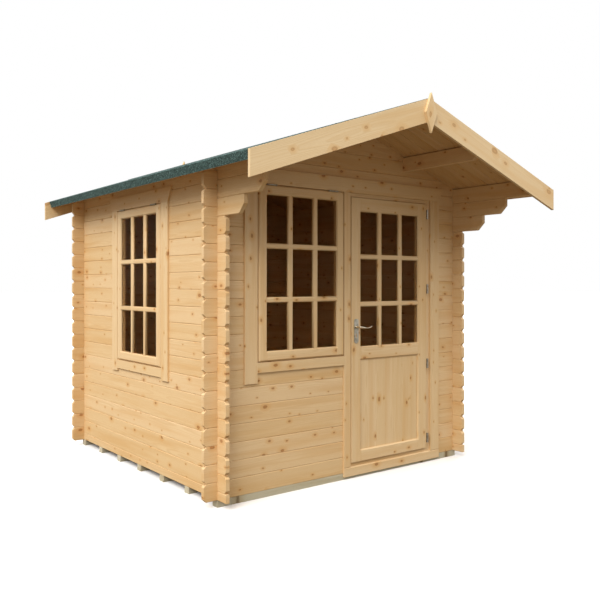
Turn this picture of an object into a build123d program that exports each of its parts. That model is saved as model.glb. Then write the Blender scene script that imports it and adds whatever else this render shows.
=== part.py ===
from build123d import *
from math import ceil, cos, radians, sin, sqrt, tan
import os

# A small log cabin with a door, two windows and a pitched roof over a front canopy.
# Millimetres. X runs along the front wall, Y from front to back, Z up.
# The origin is the middle of the footprint, on the underside of the floor bearers.

# Log shell
width = 2240.0  # outer face to outer face of the side walls
depth = 2240.0  # outer face to outer face of the front and back walls
log_thickness = 28.0
course = 114.0  # height of one log course
log_bevel = 3.5  # V joint between two logs, half its width
log_gap = 0.3  # open joint between two logs
overrun = 98.0  # log ends past the crossing wall
end_chamfer = 20.0  # cut corners of a log end
notch_play = 0.4  # between a notch's cheek and the log in it
near = 0.1  # places closer than this are the same

# Floor
bearer_count = 7
bearer_width = 58.0
bearer_height = 45.0
floor_thickness = 19.0
floor_play = 2.0  # round the floor, inside the walls

# Roof
pitch = 19.13  # degrees
seat_width = 8.0  # planed flat on the outer top edge of a plate or purlin
deck_thickness = 30.0
felt_thickness = 6.0
eave_reach = 205.0  # from the side wall's face to the deck's edge, along the underside
eave_batten_width = 34.0
eave_batten_height = 24.0
canopy = 720.0  # front wall's face to the back of the front fascia
rear_overhang = 219.0  # back wall's face to the front of the rear fascia
fascia_width = 142.0
fascia_thickness = 20.0
fascia_reach = 251.0  # from the side wall's face to the fascia's vertical end
fascia_rise = 32.4  # fascia's top edge above the deck's underside, square to the slope
purlin_thickness = 34.0
purlin_height = 104.0
purlin_offset = 521.0  # ridge line to the purlin's inner face
corbel_lengths = (300.0, 510.0)  # reach of the two stepped logs under the plate, lower first
corbel_chamfer = 57.0
finial_width = 100.0
finial_height = 257.0
finial_thickness = 18.0
finial_top = 33.0  # tip above the fascias' peak

# Joinery, set out from the outer face of the logs
trim_thickness = 14.0
trim_width = 99.0
head_trim_height = 102.0
head_trim_flare = 50.0  # how much further out the top of a head board reaches than its bottom
board_joint = 0.4  # between two trim boards
joinery_proud = 18.0  # front of a sash or the door leaf, in front of the logs
joinery_thickness = 40.0
frame_depth = 50.0  # from the face of the logs inwards
frame_play = 2.0  # round a frame, in the opening cut in the logs
stop_width = 12.0  # lip that a sash or the leaf closes against
glass_thickness = 4.0
glass_setback = 14.0  # behind the front of a sash or the leaf
glass_rebate = 8.0
glass_play = 0.3
moulding = 8.0  # chamfer round the panes and round a sash

sash_width = 728.0
sash_height = 1153.0
sash_rail = 65.0
sash_gap = 3.0  # between a sash and its frame
window_jamb = 30.0
sash_trim_gap = 9.0  # between a sash and the boards at its sides
front_head_drop = 56.0  # front sash below the top joint of its wall
side_head_drop = 81.0  # side sash below the top joint of its wall
side_window_centre = 1112.0  # front wall's face to the middle of the side sash
bottom_trim_height = 65.0
bottom_trim_gap = 7.0
head_gap = 4.0  # above a sash, below the head board
sill_bevel = 6.0
front_trim_drop = 67.0  # left board of the front window, below the bottom board
side_trim_drop = 19.0

joinery_shift = -6.5  # middle of the front window, door and boards, from the wall's middle
mullion_width = 70.0  # between the front sash and the leaf
leaf_width = 780.0
leaf_bottom = 70.0  # above the bearers
leaf_height = 1897.0
leaf_gap = 5.0
leaf_stile = 93.0
leaf_top_rail = 98.0
leaf_mid_rail = 96.0
leaf_bottom_rail = 82.0
leaf_glass_height = 973.0
panel_thickness = 14.0
panel_setback = 13.0
hinge_jamb = 60.0
sill_drop = 26.0  # outer sill board, below the top of the bearers
sill_board_top = 40.0
right_trim_gap = 52.0  # between the leaf and the board right of it

hinge_count = 4
hinge_inset = 79.0  # middle of the first and last hinge, from the leaf's ends
hinge_radius = 8.0
hinge_sides = 16  # flats round a hinge's barrel
hinge_height = 72.0
hinge_reach = 7.0  # hinge axis past the leaf's edge
hinge_proud = 6.0  # hinge axis in front of the leaf
hinge_flap = 2.0
hinge_flap_depth = 30.0
hinge_split = 0.4
window_hinge_length = 80.0
window_hinge_inset = 60.0
window_hinge_radius = 5.0
window_hinge_proud = 3.0  # barrel's middle in front of the sash

plate_width = 40.0
plate_height = 174.0
plate_thickness = 5.0
plate_top_rise = 56.0  # plate's top above the spindle
plate_head_chamfer = 7.0
plate_foot_chamfer = 14.0
plate_play = 0.3
keyhole_drop = 62.0
keyhole_height = 30.0
keyhole_width = 12.0
spindle_size = 8.0
spindle_height = 1039.0  # above the bearers
spindle_setback = 43.0  # from the leaf's edge
lock_bore = 12.0
neck_radius = 9.0
neck_length = 46.0
neck_play = 0.05
lever_length = 110.0
lever_thickness = 11.0
lever_root = 15.0  # height of the lever at its neck
lever_waist = 8.0  # height where it is thinnest
lever_waist_place = 66.0  # spindle to the waist
lever_sag = 7.0  # waist below the spindle
lever_tip = 11.0  # height at the tip
lever_rise = 5.0  # tip above the spindle

# Places worked out from the sizes above
base = bearer_height
door_head = leaf_gap + window_jamb + frame_play  # least height over the leaf
courses = ceil((leaf_bottom + leaf_height + door_head) / course)  # whole logs, up to the gable
half_width = width / 2
half_depth = depth / 2
slope = tan(radians(pitch))
wall_top = base + courses * course
plate_top = wall_top + course / 2
eave_z = plate_top - seat_width * slope  # deck's underside over a side wall's outer face
front_end = -half_depth - canopy
rear_end = half_depth + rear_overhang
roof_length = rear_end - front_end

front_face = Plane(origin=(0, -half_depth, 0), x_dir=(1, 0, 0), z_dir=(0, -1, 0))
back_face = Plane(origin=(0, half_depth, 0), x_dir=(-1, 0, 0), z_dir=(0, 1, 0))
right_face = Plane(origin=(half_width, 0, 0), x_dir=(0, 1, 0), z_dir=(1, 0, 0))
left_face = Plane(origin=(-half_width, 0, 0), x_dir=(0, -1, 0), z_dir=(-1, 0, 0))

made = []


def keep(part, name):
    part.label = name
    made.append(part)


def roof_z(x, above=0.0):
    # height of the deck's underside at x, or of a plane so far above it, square to the slope
    return eave_z + (half_width - abs(x)) * slope + above / cos(radians(pitch))


# Logs. A log is drawn on the outer face of its wall, as seen from outside, and cut from
# a board of the logs' thickness. Where two walls cross, each log is notched by a quarter
# of a course above and below, so that the logs of the two walls lock half a course apart.
neck_low = course / 4
neck_high = 3 * course / 4 - log_gap
full_height = course - log_gap
half_height = course / 2 - log_gap
notch_width = log_thickness + 2 * notch_play


def make_log(face, start, end, low, height, corners, tips, under=True, over=True, foot=None):
    run = Axis.X if abs(face.x_dir.X) > near else Axis.Y
    with BuildPart() as log:
        with BuildSketch(face) as side:
            with Locations(((start + end) / 2, low + height / 2)):
                Rectangle(end - start, height)
            cut = [v for v in side.vertices() if any(abs(v.X - t) < near for t in tips)]
            if cut:
                chamfer(cut, end_chamfer)
            if foot is not None:
                lower = side.vertices().group_by(Axis.Y)[0].sort_by(Axis.X)
                chamfer(lower[0] if foot < 0 else lower[-1], corbel_chamfer)
            if under:
                with Locations(*[(c, low) for c in corners]):
                    Rectangle(notch_width, 2 * neck_low, mode=Mode.SUBTRACT)
            if over:
                with Locations(*[(c, low + height) for c in corners]):
                    Rectangle(notch_width, 2 * neck_low, mode=Mode.SUBTRACT)
        extrude(amount=-log_thickness)
        rows = log.edges().filter_by(run).group_by(Axis.Z)
        chamfer(rows[0] + rows[-1], log_bevel)
    return log.part


def stack(log, count, first=0):
    with BuildPart() as pile:
        with Locations(*[(0, 0, (first + i) * course) for i in range(count)]):
            add(log)
    return pile.part


# Openings cut in the logs
joinery_width = (
    2 * trim_width + sash_trim_gap + sash_width + mullion_width + leaf_width + right_trim_gap
)
sash_left = joinery_shift - joinery_width / 2 + trim_width + sash_trim_gap
leaf_x0 = sash_left + sash_width + mullion_width
leaf_x1 = leaf_x0 + leaf_width
door_frame_left = leaf_x0 - leaf_gap - window_jamb
door_frame_right = leaf_x1 + leaf_gap + hinge_jamb
door_opening_left = door_frame_left - frame_play
door_opening_right = door_frame_right + frame_play
window_side = sash_gap + window_jamb + frame_play  # sash to the cut logs
crossing_x = half_width - log_thickness / 2
crossing_y = half_depth - log_thickness / 2
tip_x = half_width + overrun
tip_y = half_depth + overrun


def courses_cut(head_drop):
    # logs that a window goes through, down from the top joint of its wall
    sill = sash_gap + stop_width + frame_play
    return ceil((head_drop + sash_height + sill) / course)


# Front wall, open from the window to the door
low_log = make_log(front_face, -tip_x, door_opening_left, base, full_height, [-crossing_x], [-tip_x])
short_log = make_log(
    front_face, -tip_x, sash_left - window_side, base, full_height, [-crossing_x], [-tip_x]
)
front_cut = courses_cut(front_head_drop)
with BuildPart() as front_wall_left:
    add(stack(low_log, courses - front_cut))
    add(stack(short_log, front_cut, courses - front_cut))
keep(front_wall_left.part, "front_wall_left")

end_log = make_log(front_face, door_opening_right, tip_x, base, full_height, [crossing_x], [tip_x])
keep(stack(end_log, courses), "front_wall_right")

# Back wall
back_log = make_log(
    back_face, -tip_x, tip_x, base, full_height, [-crossing_x, crossing_x], [-tip_x, tip_x]
)
keep(stack(back_log, courses), "back_wall")

# Side walls start with half a log, and their two upper logs step out under the canopy
side_low = base + course / 2
side_logs = courses - 1
stepped = len(corbel_lengths)


def side_wall_log(face, ends, height_index, corbel=False):
    # ends are places along Y; the face of the left wall is drawn with Y reversed
    flip = -1 if face is left_face else 1
    start, end = sorted(flip * y for y in ends)
    corners = [flip * y for y in (-crossing_y, crossing_y) if min(ends) < y < max(ends)]
    tips = [flip * y for y in ends if abs(abs(y) - tip_y) < near]
    low = side_low + height_index * course
    foot = -flip if corbel else None
    return make_log(face, start, end, low, full_height, corners, tips, foot=foot)


def half_log(face):
    return make_log(
        face,
        -tip_y,
        tip_y,
        base,
        half_height,
        [-crossing_y, crossing_y],
        [],
        under=False,
    )


side_middle = side_window_centre - half_depth
side_opening_front = side_middle - sash_width / 2 - window_side
side_opening_rear = side_middle + sash_width / 2 + window_side
side_cut = courses_cut(side_head_drop)
side_window_low = side_logs - side_cut  # first side log that the window cuts

with BuildPart() as left_wall_lower:
    add(half_log(left_face))
    add(stack(side_wall_log(left_face, (-tip_y, tip_y), 0), side_window_low))
keep(left_wall_lower.part, "left_wall_lower")

with BuildPart() as left_wall_front:
    plain = side_wall_log(left_face, (-tip_y, side_opening_front), 0)
    add(stack(plain, side_cut - stepped, side_window_low))
    for i, reach in enumerate(corbel_lengths):
        ends = (-half_depth - reach, side_opening_front)
        add(side_wall_log(left_face, ends, side_logs - stepped + i, corbel=True))
keep(left_wall_front.part, "left_wall_front")

rear_log = side_wall_log(left_face, (side_opening_rear, tip_y), 0)
keep(stack(rear_log, side_cut, side_window_low), "left_wall_rear")

with BuildPart() as right_wall:
    add(half_log(right_face))
    add(stack(side_wall_log(right_face, (-tip_y, tip_y), 0), side_logs - stepped))
    for i, reach in enumerate(corbel_lengths):
        ends = (-half_depth - reach, tip_y)
        add(side_wall_log(right_face, ends, side_logs - stepped + i, corbel=True))
keep(right_wall.part, "right_wall")

# Wall plates, the top logs of the side walls, carry the deck from fascia to fascia
plate_low = plate_top - course
for side, name in ((-1, "left_plate"), (1, "right_plate")):
    outer = side * half_width
    inner = side * (half_width - log_thickness)
    with BuildPart() as plate:
        with BuildSketch(Plane.XZ.offset(-front_end)):
            with BuildLine():
                Polyline(
                    (outer, plate_low + log_bevel),
                    (outer, plate_top - seat_width * slope),
                    (outer - side * seat_width, plate_top),
                    (inner, plate_top),
                    (inner, plate_low + log_bevel),
                    (inner + side * log_bevel, plate_low),
                    (outer - side * log_bevel, plate_low),
                    close=True,
                )
            make_face()
        extrude(amount=-roof_length)
        with Locations(*[(side * crossing_x, y, plate_low) for y in (-crossing_y, crossing_y)]):
            Box(2 * log_thickness, notch_width, 2 * neck_low, mode=Mode.SUBTRACT)
            with Locations((0, 0, neck_high)):
                Box(
                    2 * log_thickness,
                    notch_width,
                    course,
                    align=(Align.CENTER, Align.CENTER, Align.MIN),
                    mode=Mode.SUBTRACT,
                )
    keep(plate.part, name)

# Purlins, one under each slope
purlin_top = roof_z(purlin_offset + purlin_thickness) + seat_width * slope
purlin_low = purlin_top - purlin_height
for side, name in ((-1, "left_purlin"), (1, "right_purlin")):
    outer = side * (purlin_offset + purlin_thickness)
    inner = side * purlin_offset
    with BuildPart() as purlin:
        with BuildSketch(Plane.XZ.offset(-front_end)):
            with BuildLine():
                Polyline(
                    (outer, purlin_low),
                    (outer, purlin_top - seat_width * slope),
                    (outer - side * seat_width, purlin_top),
                    (inner, purlin_top),
                    (inner, purlin_low),
                    close=True,
                )
            make_face()
        extrude(amount=-roof_length)
        foot = purlin.edges().filter_by(Axis.X).group_by(Axis.Z)[0].sort_by(Axis.Y)[0]
        chamfer(foot, corbel_chamfer)
    keep(purlin.part, name)

# Gables, logs cut to the slope and let in round the plates and purlins, with the same V joints
gable_rows = ceil((roof_z(0) - wall_top) / course)
joint_half = log_bevel + log_gap / 2
for face, name in ((front_face, "front_gable"), (back_face, "back_gable")):
    with BuildPart() as gable:
        for row in range(gable_rows):
            low = wall_top + row * course
            with BuildSketch(face) as outline:
                with Locations((0, low + full_height / 2)):
                    Rectangle(width, full_height)
                with BuildLine():
                    Polyline(
                        (-half_width, wall_top),
                        (-half_width, roof_z(half_width)),
                        (0, roof_z(0)),
                        (half_width, roof_z(half_width)),
                        (half_width, wall_top),
                        close=True,
                    )
                make_face(mode=Mode.INTERSECT)
                if row == 0:
                    with Locations((-crossing_x, low), (crossing_x, low)):
                        Rectangle(notch_width, 2 * neck_low, mode=Mode.SUBTRACT)
                middle = purlin_offset + purlin_thickness / 2
                with Locations(*[(s * middle, (purlin_low + purlin_top) / 2) for s in (-1, 1)]):
                    Rectangle(
                        purlin_thickness + 2 * notch_play,
                        purlin_height + 2 * notch_play,
                        mode=Mode.SUBTRACT,
                    )
            extrude(amount=-log_thickness)
        with BuildSketch(Plane.YZ.offset(-half_width)):
            for row in range(gable_rows):
                joint = wall_top + row * course - log_gap / 2
                with Locations(*[(face.origin.Y - d * face.z_dir.Y, joint) for d in (0, log_thickness)]):
                    Rectangle(sqrt(2) * joint_half, sqrt(2) * joint_half, rotation=45)
        extrude(amount=width, mode=Mode.SUBTRACT)
    keep(gable.part, name)

# Floor bearers and the boarded floor between the walls
bearer_pitch = (depth - bearer_width) / (bearer_count - 1)
with BuildPart() as bearers:
    with Locations((0, 0, bearer_height / 2)):
        with GridLocations(1, bearer_pitch, 1, bearer_count):
            Box(width, bearer_width, bearer_height)
keep(bearers.part, "floor_bearers")

floor_x = width - 2 * (log_thickness + floor_play)
floor_y = depth - 2 * (log_thickness + floor_play)
with BuildPart() as floor:
    with Locations((0, 0, base + floor_thickness / 2)):
        Box(floor_x, floor_y, floor_thickness)
    with Locations(((door_frame_left + door_frame_right) / 2, -half_depth + frame_depth / 2, base)):
        Box(
            door_frame_right - door_frame_left + 2 * floor_play,
            frame_depth + 2 * floor_play,
            2 * floor_thickness + 1,
            mode=Mode.SUBTRACT,
        )
keep(floor.part, "floor_boards")

# Roof deck, felt and eave battens, one set a slope
down_x = cos(radians(pitch))
down_z = sin(radians(pitch))
eave_along = (half_width + eave_reach) / down_x


def slope_point(side, along, above):
    # a point so far down the slope from the underside's ridge line, and so far off it
    return (side * (along * down_x + above * down_z), roof_z(0) - along * down_z + above * down_x)


def slope_sheet(side, name, bottom, top, from_ridge=True, start=0.0, end=eave_along):
    with BuildPart() as sheet:
        with BuildSketch(Plane.XZ.offset(-front_end)):
            with BuildLine():
                if from_ridge:
                    head = [(0, roof_z(0, bottom)), (0, roof_z(0, top))]
                else:
                    head = [slope_point(side, start, bottom), slope_point(side, start, top)]
                foot = [slope_point(side, end, top), slope_point(side, end, bottom)]
                Polyline(*head, *foot, close=True)
            make_face()
        extrude(amount=-roof_length)
    keep(sheet.part, name)


for side, hand in ((-1, "left"), (1, "right")):
    slope_sheet(side, f"{hand}_roof_deck", 0.0, deck_thickness)
    slope_sheet(
        side,
        f"{hand}_eave_batten",
        -eave_batten_height,
        0.0,
        from_ridge=False,
        start=eave_along - eave_batten_width,
    )
    with BuildPart() as felt:
        with BuildSketch(Plane.XZ.offset(-front_end)):
            with BuildLine():
                Polyline(
                    (0, roof_z(0, deck_thickness)),
                    (0, roof_z(0, deck_thickness + felt_thickness)),
                    slope_point(side, eave_along + felt_thickness, deck_thickness + felt_thickness),
                    slope_point(side, eave_along + felt_thickness, -eave_batten_height),
                    slope_point(side, eave_along, -eave_batten_height),
                    slope_point(side, eave_along, deck_thickness),
                    close=True,
                )
            make_face()
        extrude(amount=-roof_length)
    keep(felt.part, f"{hand}_roof_felt")

# Fascias on both ends of the roof, and a diamond finial over each pair
fascia_drop = fascia_width / cos(radians(pitch))
fascia_peak = roof_z(0, fascia_rise)
for place, y in (("front", front_end), ("rear", rear_end + fascia_thickness)):
    for side, hand in ((-1, "left"), (1, "right")):
        tip = side * (half_width + fascia_reach)
        tip_z = fascia_peak - (half_width + fascia_reach) * slope
        with BuildPart() as fascia:
            with BuildSketch(Plane.XZ.offset(-y)):
                with BuildLine():
                    Polyline(
                        (0, fascia_peak),
                        (tip, tip_z),
                        (tip, tip_z - fascia_drop),
                        (0, fascia_peak - fascia_drop),
                        close=True,
                    )
                make_face()
            extrude(amount=fascia_thickness)
        keep(fascia.part, f"{place}_fascia_{hand}")

    finial_face = y - fascia_thickness if place == "front" else y + finial_thickness
    finial_z = fascia_peak + finial_top - finial_height / 2
    with BuildPart() as finial:
        with BuildSketch(Plane.XZ.offset(-finial_face)):
            with BuildLine():
                Polyline(
                    (0, finial_z + finial_height / 2),
                    (finial_width / 2, finial_z),
                    (0, finial_z - finial_height / 2),
                    (-finial_width / 2, finial_z),
                    close=True,
                )
            make_face()
        extrude(amount=finial_thickness)
    keep(finial.part, f"{place}_finial")


# Windows. Each is drawn on its wall's outer face: a frame in the opening, a sash with
# moulded edges, one sheet of glass in a groove, and boards round the outside.
def slab(face, left, right, low, high, front, back):
    # a board between two distances out from the logs' face
    with BuildPart() as board:
        with BuildSketch(face.offset(front)):
            with Locations(((left + right) / 2, (low + high) / 2)):
                Rectangle(right - left, high - low)
        extrude(amount=back - front)
    return board.part


def ring(face, outer, inner, front, back):
    with BuildPart() as hoop:
        with BuildSketch(face.offset(front)):
            for (left, right, low, high), mode in ((outer, Mode.ADD), (inner, Mode.SUBTRACT)):
                with Locations(((left + right) / 2, (low + high) / 2)):
                    Rectangle(right - left, high - low, mode=mode)
        extrude(amount=back - front)
    return hoop.part


def inset(box, by):
    left, right, low, high = box
    return (left + by, right - by, low + by, high - by)


def frame_with_stop(face, outer, inner, stop_front):
    with BuildPart() as frame:
        add(ring(face, outer, inner, 0, -frame_depth))
        add(ring(face, inner, inset(inner, stop_width), stop_front, -frame_depth))
    return frame.part


def head_board(face, left, right, low):
    flare = head_trim_flare
    with BuildPart() as board:
        with BuildSketch(face):
            with BuildLine():
                Polyline(
                    (left, low),
                    (right, low),
                    (right + flare, low + head_trim_height),
                    (left - flare, low + head_trim_height),
                    close=True,
                )
            make_face()
        extrude(amount=trim_thickness)
    return board.part


glass_front = joinery_proud - glass_setback
joinery_back = joinery_proud - joinery_thickness


def make_window(face, centre, top_joint, head_drop, hand):
    high = top_joint - head_drop
    sash_box = (centre - sash_width / 2, centre + sash_width / 2, high - sash_height, high)
    inner = inset(sash_box, -sash_gap)
    outer = (
        inner[0] - window_jamb,
        inner[1] + window_jamb,
        top_joint - courses_cut(head_drop) * course + frame_play,
        top_joint - frame_play,
    )
    pane = inset(sash_box, sash_rail)
    groove = inset(pane, -glass_rebate)
    keep(frame_with_stop(face, outer, inner, joinery_back), f"{hand}_window_frame")

    with BuildPart() as sash:
        add(ring(face, sash_box, pane, joinery_proud, joinery_back))
        rim = sash.faces().sort_by(Axis(face.origin, face.z_dir))[-1].edges()
        chamfer(rim, moulding)
        add(
            slab(face, *inset(groove, -glass_play), glass_front + glass_play,
                 glass_front - glass_thickness - glass_play),
            mode=Mode.SUBTRACT,
        )
    keep(sash.part, f"{hand}_window_sash")
    keep(slab(face, *groove, glass_front, glass_front - glass_thickness), f"{hand}_window_glass")

    # Hinges on the sash's top edge, each a barrel and a flap that lies on the sash
    half = window_hinge_length / 2
    barrel_out = joinery_proud + window_hinge_proud
    with BuildPart() as hinges:
        for end in (-1, 1):
            middle = centre + end * (sash_width / 2 - window_hinge_inset - half)
            add(slab(face, middle - half, middle + half, high, high + hinge_flap, barrel_out, 0))
            start = face.from_local_coords((middle - half, high, barrel_out))
            with BuildSketch(Plane(origin=start, x_dir=face.z_dir, z_dir=face.x_dir)):
                RegularPolygon(window_hinge_radius, hinge_sides)
            extrude(amount=window_hinge_length)
    keep(hinges.part, f"{hand}_window_hinges")
    return sash_box


front_sash = make_window(
    front_face, sash_left + sash_width / 2, wall_top, front_head_drop, "front"
)
side_joint = wall_top - course / 2  # side logs lie half a course lower than the front ones
side_sash = make_window(left_face, -side_middle, side_joint, side_head_drop, "side")


# Boards round the front openings: they cover the joint between the frames and the logs
def boards(pieces, name):
    with BuildPart() as trim:
        for piece in pieces:
            add(piece)
    keep(trim.part, name)


sash_right, sash_low, sash_high = front_sash[1:]
left_board = sash_left - sash_trim_gap
mullion_left = sash_right + leaf_gap
mullion_right = leaf_x0 - leaf_gap
right_board = leaf_x1 + right_trim_gap
head_low = sash_high + head_gap
board_high = head_low - board_joint
bottom_high = sash_low - bottom_trim_gap
bottom_low = bottom_high - bottom_trim_height
sill_top = base + sill_board_top
sill_right = right_board + trim_width
with BuildPart() as sill_board:
    add(slab(front_face, mullion_left, sill_right, base - sill_drop, sill_top, 0, trim_thickness))
    lip = sill_board.edges().filter_by(Axis.X).group_by(Axis.Z)[-1].sort_by(Axis.Y)[0]
    chamfer(lip, sill_bevel)
front_boards = [
    (left_board - trim_width, left_board, bottom_low - front_trim_drop, board_high),
    (left_board + board_joint, mullion_left - board_joint, bottom_low, bottom_high),
    (mullion_left, mullion_right, sill_top + board_joint, board_high),
    (right_board, sill_right, sill_top + board_joint, board_high),
]
boards(
    [slab(front_face, *board, 0, trim_thickness) for board in front_boards]
    + [head_board(front_face, left_board - trim_width, sill_right, head_low), sill_board.part],
    "front_trim",
)

side_left = side_sash[0] - sash_trim_gap
side_right = side_sash[1] + sash_trim_gap
side_head = side_sash[3] + head_gap
side_bottom_high = side_sash[2] - bottom_trim_gap
side_bottom_low = side_bottom_high - bottom_trim_height
side_boards = [
    (edge, edge + trim_width, side_bottom_low - side_trim_drop, side_head - board_joint)
    for edge in (side_left - trim_width, side_right)
]
side_boards.append(
    (side_left + board_joint, side_right - board_joint, side_bottom_low, side_bottom_high)
)
boards(
    [slab(left_face, *board, 0, trim_thickness) for board in side_boards]
    + [head_board(left_face, side_left - trim_width, side_right + trim_width, side_head)],
    "side_trim",
)

# Door frame with its stop, and the leaf: two stiles, three rails, glass and a panel
leaf_z0 = base + leaf_bottom
leaf_z1 = leaf_z0 + leaf_height
leaf_box = (leaf_x0, leaf_x1, leaf_z0, leaf_z1)
leaf_inner = inset(leaf_box, -leaf_gap)
door_outer = (door_frame_left, door_frame_right, base, wall_top - frame_play)
keep(frame_with_stop(front_face, door_outer, leaf_inner, joinery_back - leaf_gap), "door_frame")

pane_high = leaf_z1 - leaf_top_rail
pane_low = pane_high - leaf_glass_height
panel_high = pane_low - leaf_mid_rail
panel_low = leaf_z0 + leaf_bottom_rail
pane_box = (leaf_x0 + leaf_stile, leaf_x1 - leaf_stile, pane_low, pane_high)
panel_box = (leaf_x0 + leaf_stile, leaf_x1 - leaf_stile, panel_low, panel_high)
glass_box = inset(pane_box, -glass_rebate)
board_box = inset(panel_box, -glass_rebate)
panel_front = joinery_proud - panel_setback
spindle_x = leaf_x0 + spindle_setback
spindle_z = base + spindle_height
spindle_line = Plane(
    origin=(spindle_x, -half_depth - joinery_proud, spindle_z), x_dir=(1, 0, 0), z_dir=(0, -1, 0)
)

with BuildPart() as leaf:
    with BuildSketch(front_face.offset(joinery_proud)):
        for (left, right, low, high), mode in (
            (leaf_box, Mode.ADD),
            (pane_box, Mode.SUBTRACT),
            (panel_box, Mode.SUBTRACT),
        ):
            with Locations(((left + right) / 2, (low + high) / 2)):
                Rectangle(right - left, high - low, mode=mode)
    extrude(amount=-joinery_thickness)
    front = leaf.faces().sort_by(Axis.Y)[0]
    chamfer([e for wire in front.inner_wires() for e in wire.edges()], moulding)
    add(
        slab(front_face, *inset(glass_box, -glass_play), glass_front + glass_play,
             glass_front - glass_thickness - glass_play),
        mode=Mode.SUBTRACT,
    )
    add(
        slab(front_face, *inset(board_box, -glass_play), panel_front + glass_play,
             panel_front - panel_thickness - glass_play),
        mode=Mode.SUBTRACT,
    )
    with BuildSketch(spindle_line):
        Circle(lock_bore)
    extrude(amount=-joinery_thickness, mode=Mode.SUBTRACT)
keep(leaf.part, "door_leaf")
keep(slab(front_face, *glass_box, glass_front, glass_front - glass_thickness), "door_glass")
keep(slab(front_face, *board_box, panel_front, panel_front - panel_thickness), "door_panel")

# Hinges: a lower barrel with a flap on the frame, and an upper one with a flap on the leaf
hinge_x = leaf_x1 + hinge_reach
hinge_y = -half_depth - joinery_proud - hinge_proud
hinge_step = (leaf_height - 2 * hinge_inset) / (hinge_count - 1)
hinge_middles = [leaf_z0 + hinge_inset + i * hinge_step for i in range(hinge_count)]
barrel = (hinge_height - hinge_split) / 2


def hinge_halves(flap_left, rise, name):
    with BuildPart() as halves:
        for middle in hinge_middles:
            with BuildSketch(Plane.XY.offset(middle + rise)):
                with Locations((hinge_x, hinge_y)):
                    RegularPolygon(hinge_radius, hinge_sides)
                with Locations((flap_left + hinge_flap / 2, hinge_y + hinge_flap_depth / 2)):
                    Rectangle(hinge_flap, hinge_flap_depth)
            extrude(amount=barrel)
    keep(halves.part, name)


hinge_halves(leaf_x1 + leaf_gap - hinge_flap, -hinge_height / 2, "door_frame_hinges")
hinge_halves(leaf_x1, hinge_split / 2, "door_leaf_hinges")

# Lever handles on one square spindle, with a plate on each side of the leaf
inner_line = Plane(
    origin=(spindle_x, -half_depth - joinery_back, spindle_z), x_dir=(-1, 0, 0), z_dir=(0, 1, 0)
)
with BuildPart() as plates:
    for line in (spindle_line, inner_line):
        with BuildSketch(line) as outline:
            with Locations((0, plate_top_rise - plate_height / 2)):
                Rectangle(plate_width, plate_height)
            foot, head = outline.vertices().group_by(Axis.Y)
            chamfer(foot, plate_foot_chamfer)
            chamfer(head, plate_head_chamfer)
            Circle(neck_radius + neck_play, mode=Mode.SUBTRACT)
            with Locations((0, -keyhole_drop)):
                SlotOverall(keyhole_height, keyhole_width, rotation=90, mode=Mode.SUBTRACT)
        extrude(amount=plate_thickness)
keep(plates.part, "door_handle_plates")

neck_end = plate_thickness + neck_length
with BuildPart() as lever:
    with BuildSketch(inner_line.offset(plate_thickness)):
        Rectangle(spindle_size, spindle_size)
    extrude(amount=-(joinery_thickness + 2 * plate_thickness))
    for line, reach in ((spindle_line, 1), (inner_line, -1)):
        with BuildSketch(line.offset(plate_play)):
            Circle(neck_radius)
        extrude(amount=neck_end - plate_play)
        with BuildSketch(line.offset(neck_end - lever_thickness)):
            with BuildLine():
                upper, lower = [
                    Spline(
                        (0, up * lever_root / 2),
                        (reach * lever_waist_place, up * lever_waist / 2 - lever_sag),
                        (reach * lever_length, up * lever_tip / 2 + lever_rise),
                    )
                    for up in (1, -1)
                ]
                Line(upper @ 0, lower @ 0)
                Line(upper @ 1, lower @ 1)
            make_face()
        extrude(amount=lever_thickness)
keep(lever.part, "door_lever")

os.makedirs("parts", exist_ok=True)
for part in made:
    export_step(part, f"parts/{part.label}.step")
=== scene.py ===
import math
import random

import bmesh
import bpy
from mathutils import Matrix, Vector


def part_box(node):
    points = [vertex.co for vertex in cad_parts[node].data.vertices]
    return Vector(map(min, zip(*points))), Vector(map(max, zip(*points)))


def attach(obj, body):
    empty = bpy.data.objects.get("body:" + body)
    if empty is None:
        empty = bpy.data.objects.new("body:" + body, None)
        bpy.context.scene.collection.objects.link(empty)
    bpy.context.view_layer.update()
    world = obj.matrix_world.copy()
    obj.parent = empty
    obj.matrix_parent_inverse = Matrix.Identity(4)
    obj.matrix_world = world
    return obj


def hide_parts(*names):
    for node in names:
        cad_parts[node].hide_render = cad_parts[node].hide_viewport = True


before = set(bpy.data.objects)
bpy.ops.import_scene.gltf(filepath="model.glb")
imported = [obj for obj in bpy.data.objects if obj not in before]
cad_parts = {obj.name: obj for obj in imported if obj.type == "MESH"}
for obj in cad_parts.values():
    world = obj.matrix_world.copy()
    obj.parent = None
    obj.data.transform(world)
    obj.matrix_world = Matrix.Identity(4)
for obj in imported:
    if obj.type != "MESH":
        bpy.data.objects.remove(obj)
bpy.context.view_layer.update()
print("frame loaded:", len(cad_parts), "nodes")


# Small helpers for shader nodes
def addNode(tree, kind, inputs=None, **settings):
    node = tree.nodes.new("ShaderNode" + kind)
    for key, value in settings.items():
        setattr(node, key, value)
    for socket, value in (inputs or {}).items():
        if isinstance(value, bpy.types.NodeSocket):
            tree.links.new(value, node.inputs[socket])
        else:
            node.inputs[socket].default_value = value
    return node


def calc(tree, operation, *values, clamp=False):
    node = addNode(tree, "Math", dict(enumerate(values)), operation=operation, use_clamp=clamp)
    return node.outputs[0]


def vectorCalc(tree, operation, *values):
    node = addNode(tree, "VectorMath", dict(enumerate(values)), operation=operation)
    return node.outputs[0]


def noise(tree, place, scale, detail):
    return addNode(tree, "TexNoise", {"Vector": place, "Scale": scale, "Detail": detail}).outputs[0]


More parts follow.
